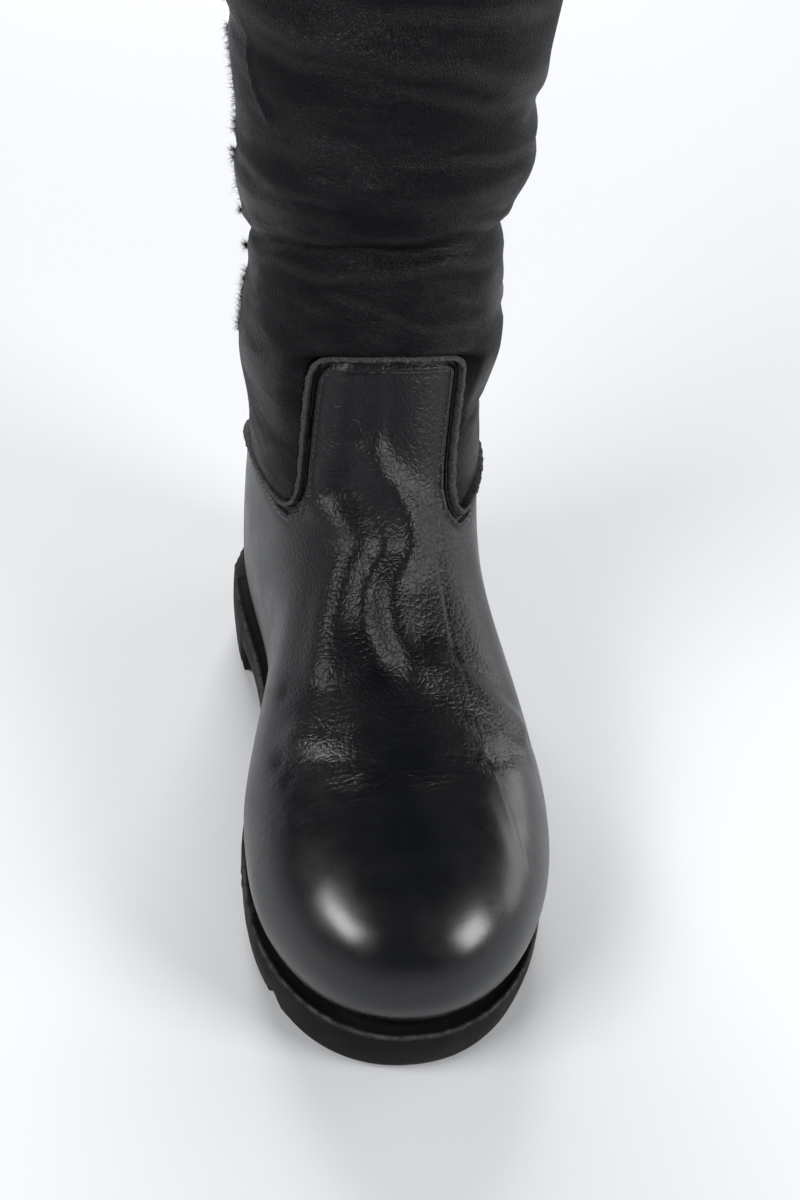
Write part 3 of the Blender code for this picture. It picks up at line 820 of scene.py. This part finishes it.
# The shaft's soft creases: height at the outer side, the front and the inner side, rise (a minus is a
# trough), half height, and the angles round the leg that it runs between, with 0 at the front and 90 at
# the outer side.
SHAFT_CREASES = (
    ("outer", "front", "inner", "rise", "half", "start", "stop"),
    (0.1415, 0.1520, 0.1345, -0.0014, 0.0026, 20, 175),
    (0.1810, 0.1990, 0.2080, -0.0013, 0.0032, -40, 130),
    (0.1900, 0.2085, 0.2150, -0.0008, 0.0026, 5, 125),
    (0.2125, 0.2215, 0.2045, -0.0020, 0.0021, -400, 400),
    (0.2190, 0.2275, 0.2110, 0.0010, 0.0034, -400, 400),
    (0.2050, 0.2140, 0.1985, 0.0009, 0.0034, -400, 400),
    (0.2430, 0.2400, 0.2350, -0.0012, 0.0026, -120, -8),
    (0.2488, 0.2565, 0.2620, -0.0013, 0.0030, -25, 150),
    (0.2588, 0.2785, 0.2809, -0.0015, 0.0042, -400, 400),
    (0.2680, 0.2860, 0.2890, 0.0009, 0.0060, -140, 140),
    (0.2980, 0.3020, 0.3060, -0.0009, 0.0046, -150, 60),
    (0.3360, 0.3330, 0.3280, -0.0012, 0.0060, -400, 400),
    (0.3740, 0.3820, 0.3790, -0.0010, 0.0065, -60, 170),
    (0.4210, 0.4150, 0.4240, -0.0012, 0.0070, -400, 400),
    (0.4650, 0.4740, 0.4700, -0.0009, 0.0070, -170, 40),
    (0.5130, 0.5090, 0.5060, -0.0010, 0.0075, -400, 400),
)


def strands(name, roots, ways, length, thickness, curl, seed):
    """Many curled, tapering hairs in one mesh, each a three-sided rod."""
    sides = 3
    dice = np.random.default_rng(seed)
    count = len(roots)
    lengths = length * dice.uniform(0.55, 1.15, count)[:, None]
    centres, thicks = [roots], [1.0]
    way = ways + dice.normal(0, 0.25, (count, 3))
    for step, thick in enumerate((0.9, 0.75, 0.5, 0.12)):
        way = way / np.linalg.norm(way, axis=1, keepdims=True)
        centres.append(centres[-1] + way * lengths / 4)
        thicks.append(thick)
        way = way + dice.normal(0, curl, (count, 3))
    first = np.cross(ways, dice.normal(0, 1, (count, 3)))
    first /= np.linalg.norm(first, axis=1, keepdims=True)
    second = np.cross(ways, first)
    second /= np.linalg.norm(second, axis=1, keepdims=True)
    rings = []
    for centre, thick in zip(centres, thicks):
        for turn in range(sides):
            angle = turn / sides * 2 * math.pi
            spoke = (first * math.cos(angle) + second * math.sin(angle)) * thickness / 2 * thick
            rings.append(centre + spoke)
    verts = np.stack(rings, 1).reshape(-1, 3)
    faces = []
    for hair in range(count):
        base = hair * len(rings)
        for row in range(len(centres) - 1):
            for turn in range(sides):
                low, after = base + row * sides + turn, base + row * sides + (turn + 1) % sides
                faces.append((low, after, after + sides, low + sides))
    mesh = bpy.data.meshes.new(name)
    mesh.from_pydata(verts.tolist(), [], faces)
    mesh.update()
    mesh.shade_smooth()
    piece = bpy.data.objects.new(name, mesh)
    bpy.context.scene.collection.objects.link(piece)
    return piece


def round_leg(angle, height, reach):
    """A place at an angle round the leg's axis, with 0 at the front."""
    return Vector((LEG_AXIS[0] + math.sin(angle) * reach, LEG_AXIS[1] - math.cos(angle) * reach, height))


shaft = shell_piece("shaft", "shearling_shaft", SHAFT_SPINE, 2, 1)
split_long_edges(
    shaft, SHAFT_EDGE_LIMIT, lambda shape, vert: vert[shape.verts.layers.float["outside"]] > 0.5
)
places, outward = surface_data(shaft)
facing = np.where(faces_outward(places, outward, SHAFT_SPINE) < -0.3, -1.0, 1.0)
x, y, z = places.T
angle = np.arctan2(x - LEG_AXIS[0], LEG_AXIS[1] - y)
around = np.degrees(angle)
push = np.zeros(len(places))
crease = np.zeros(len(places))
for outer, front, inner, rise, half, start, stop in SHAFT_CREASES[1:]:
    middle = (outer + inner) / 2
    line = middle + (outer - inner) / 2 * np.sin(angle) + (front - middle) * np.cos(angle)
    line = line + CREASE_WANDER * np.sin(angle * 5 + outer * 400)
    line = line + CREASE_RIPPLE * np.sin(angle * 11 + front * 900)
    share = soft(z - line, half) * ease((around - start) / SHAFT_FADE) * ease((stop - around) / SHAFT_FADE)
    push += rise * share
    crease = np.maximum(crease, share)
raw = np.array(RAW_EDGE)
raw_share = soft(near_runs(places, raw[:-1], raw[1:]), RAW_EDGE_HALF)
push += RAW_EDGE_RISE * raw_share
push *= ease((cad_high[2] - z) / COLLAR_CALM)
move_points(shaft, places + (push * facing)[:, None] * outward)
paint(shaft, "crease", crease)
# The raw mask raises the edge and also carries the painted highlight on it in the nappa's colour.
paint(shaft, "raw", raw_share)

nappa, nappa_shader = new_material("soft nappa", SHEARLING_COLOUR, 0.55)
tree = nappa.node_tree
place = add_node(tree, "ShaderNodeTexCoord").outputs["Object"]
fine_grain = grain(tree, place, NAPPA_CELLS)
level_lines = add_node(tree, "ShaderNodeMapping", Vector=place, Scale=(0.35, 0.35, 1.0)).outputs["Vector"]
crinkle = maths(tree, "MULTIPLY", noise(tree, level_lines, 380.0, 4.0, 0.65), painted(tree, "crease"))
cloud = noise(tree, level_lines, 60.0, 5.0, 0.6)
tiny = noise(tree, place, 2600.0, 2.0, 0.6)
height = maths(tree, "MULTIPLY", fine_grain, NAPPA_GRAIN_MM)
height = maths(tree, "ADD", height, maths(tree, "MULTIPLY", crinkle, CRINKLE_MM))
height = maths(tree, "ADD", height, maths(tree, "MULTIPLY", cloud, CLOUD_MM))
height = maths(tree, "ADD", height, maths(tree, "MULTIPLY", tiny, NAPPA_PORE_MM))
raise_surface(tree, nappa_shader, height)
# Painted highlight: the lapped raw edge is mixed toward the lighter tone, together with the real worn
# clouds.
raw_edge_highlight = maths(tree, "MULTIPLY", painted(tree, "raw"), 0.9)
wear_and_edge_highlight = maths(tree, "MAXIMUM", remap(tree, cloud, 0.52, 0.75, 0.0, 0.35), raw_edge_highlight)
tree.links.new(mix_colours(tree, wear_and_edge_highlight, SHEARLING_COLOUR, SHEARLING_WEAR_AND_HIGHLIGHT), nappa_shader.inputs["Base Color"])
tree.links.new(remap(tree, cloud, 0.35, 0.65, 0.54, 0.40), nappa_shader.inputs["Roughness"])
shiny_clouds = remap(tree, cloud, 0.40, 0.80, 0.09, 0.24)
shine = maths(tree, "MAXIMUM", shiny_clouds, maths(tree, "MULTIPLY", painted(tree, "crease"), CREASE_SHINE))
tree.links.new(shine, nappa_shader.inputs["Specular IOR Level"])
wool, wool_shader = new_material("black wool", WOOL_COLOUR, 0.95)
tree = wool.node_tree
place = add_node(tree, "ShaderNodeTexCoord").outputs["Object"]
curls = add_node(tree, "ShaderNodeTexVoronoi", Vector=place, Scale=420.0).outputs["Distance"]
height = maths(tree, "ADD", maths(tree, "MULTIPLY", curls, -1.6), noise(tree, place, 900.0, 3.0, 0.7))
raise_surface(tree, wool_shader, height)
wool_shader.inputs["Specular IOR Level"].default_value = 0.15
shaft.data.materials.clear()
shaft.data.materials.append(nappa)
shaft.data.materials.append(wool)
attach(shaft, "root")
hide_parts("shaft")

# Wool fringe
# The shearling's own wool: a thin line of curly hairs along the lapped inner seam, and a thick rim of them
# inside the collar.
FRINGE_COUNT = 5200
FRINGE_LENGTH = 0.0042
COLLAR_COUNT = 3400
COLLAR_SPREAD = 0.004
COLLAR_GAP = 0.0004
HAIR_THICKNESS = 0.00013
HAIR_CURL = 0.85
OUTSIDE_REACH = 0.075
INSIDE_REACH = 0.045
ROOT_DEPTH = 0.0004
COLLAR_ROOT_DEPTH = 0.0003

tree_of_shaft = surface_tree(shaft)
dice = np.random.default_rng(7)
roots, ways = [], []
for step in range(FRINGE_COUNT):
    height = dice.uniform(LAP_LOW, LAP_HIGH)
    thick = 0.25 + 0.75 * ease((math.sin(height * 95) * math.sin(height * 41 + 2) + 0.45) / 0.4)
    if dice.uniform() > thick:
        continue
    turn = LAP_ANGLE + math.radians(dice.normal(0, 1.1) + 2.5 * math.sin(height * 40))
    found, normal, _, _ = tree_of_shaft.find_nearest(round_leg(turn, height, OUTSIDE_REACH))
    roots.append(np.array(found) - np.array(normal) * ROOT_DEPTH)
    sweep_back = np.array((math.cos(turn), math.sin(turn), 0)) * -0.35
    ways.append(np.array(normal) * 0.75 + sweep_back + np.array((0, 0, dice.normal(0.0, 0.35))))
for step in range(COLLAR_COUNT):
    turn = dice.uniform(-math.pi, math.pi)
    height = cad_high[2] - abs(dice.normal(0, COLLAR_SPREAD)) - COLLAR_GAP
    found, normal, _, _ = tree_of_shaft.find_nearest(round_leg(turn, height, INSIDE_REACH))
    roots.append(np.array(found) - np.array(normal) * COLLAR_ROOT_DEPTH)
    ways.append(np.array(normal) * 0.6 + np.array((0, 0, 0.55)))
roots, ways = np.array(roots), np.array(ways)
fringe = strands("wool_fringe", roots, ways, FRINGE_LENGTH, HAIR_THICKNESS, HAIR_CURL, 11)
fringe.data.materials.append(wool)
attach(fringe, "root")

# Seam lip
# The raw edge of the shaft's leather standing up in the seam between foot and shaft, cut by hand and a
# little uneven, grey-green where the hide's flesh side shows.
EDGE_DARK = (0.0080, 0.0086, 0.0086, 1)
EDGE_LIGHT = (0.062, 0.067, 0.061, 1)
LIP_UNEVEN = 0.00016
FIBRE_MM = 0.35

lip_shape = node_shape("seam_lip")
crease_sharp_edges(lip_shape, SHARP_EDGE)
lip = piece_from_shape(lip_shape, "raw_seam_edge")
subdivide(lip, 3)
places, outward = surface_data(lip)
x, y, z = places.T
along = np.arctan2(x, -0.04 - y) * 60 + z * 900
uneven = np.sin(along * 0.9) + 0.7 * np.sin(along * 2.3 + 1) + 0.5 * np.sin(z * 2100 + x * 1700)
move_points(lip, places + (LIP_UNEVEN * uneven)[:, None] * outward)
cut_edge, cut_edge_shader = new_material("raw cut edge", EDGE_DARK, 0.85)
tree = cut_edge.node_tree
place = add_node(tree, "ShaderNodeTexCoord").outputs["Object"]
fibres = noise(tree, place, 1100.0, 5.0, 0.75)
tree.links.new(
    mix_colours(tree, remap(tree, fibres, 0.38, 0.66, 0.0, 0.9), EDGE_DARK, EDGE_LIGHT),
    cut_edge_shader.inputs["Base Color"],
)
raise_surface(tree, cut_edge_shader, maths(tree, "MULTIPLY", fibres, FIBRE_MM))
lip.data.materials.clear()
lip.data.materials.append(cut_edge)
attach(lip, "root")
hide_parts("seam_lip")

# Insole
# A thin fibre board with the same wool as the lining on it, cut to the outline of the foot. It lies inside
# the boot on the turned-in margin of the upper.
insole = piece_from_shape(node_shape("insole"), "wool_insole")
insole.data.materials.clear()
insole.data.materials.append(wool)
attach(insole, "root")
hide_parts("insole")

low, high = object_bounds()
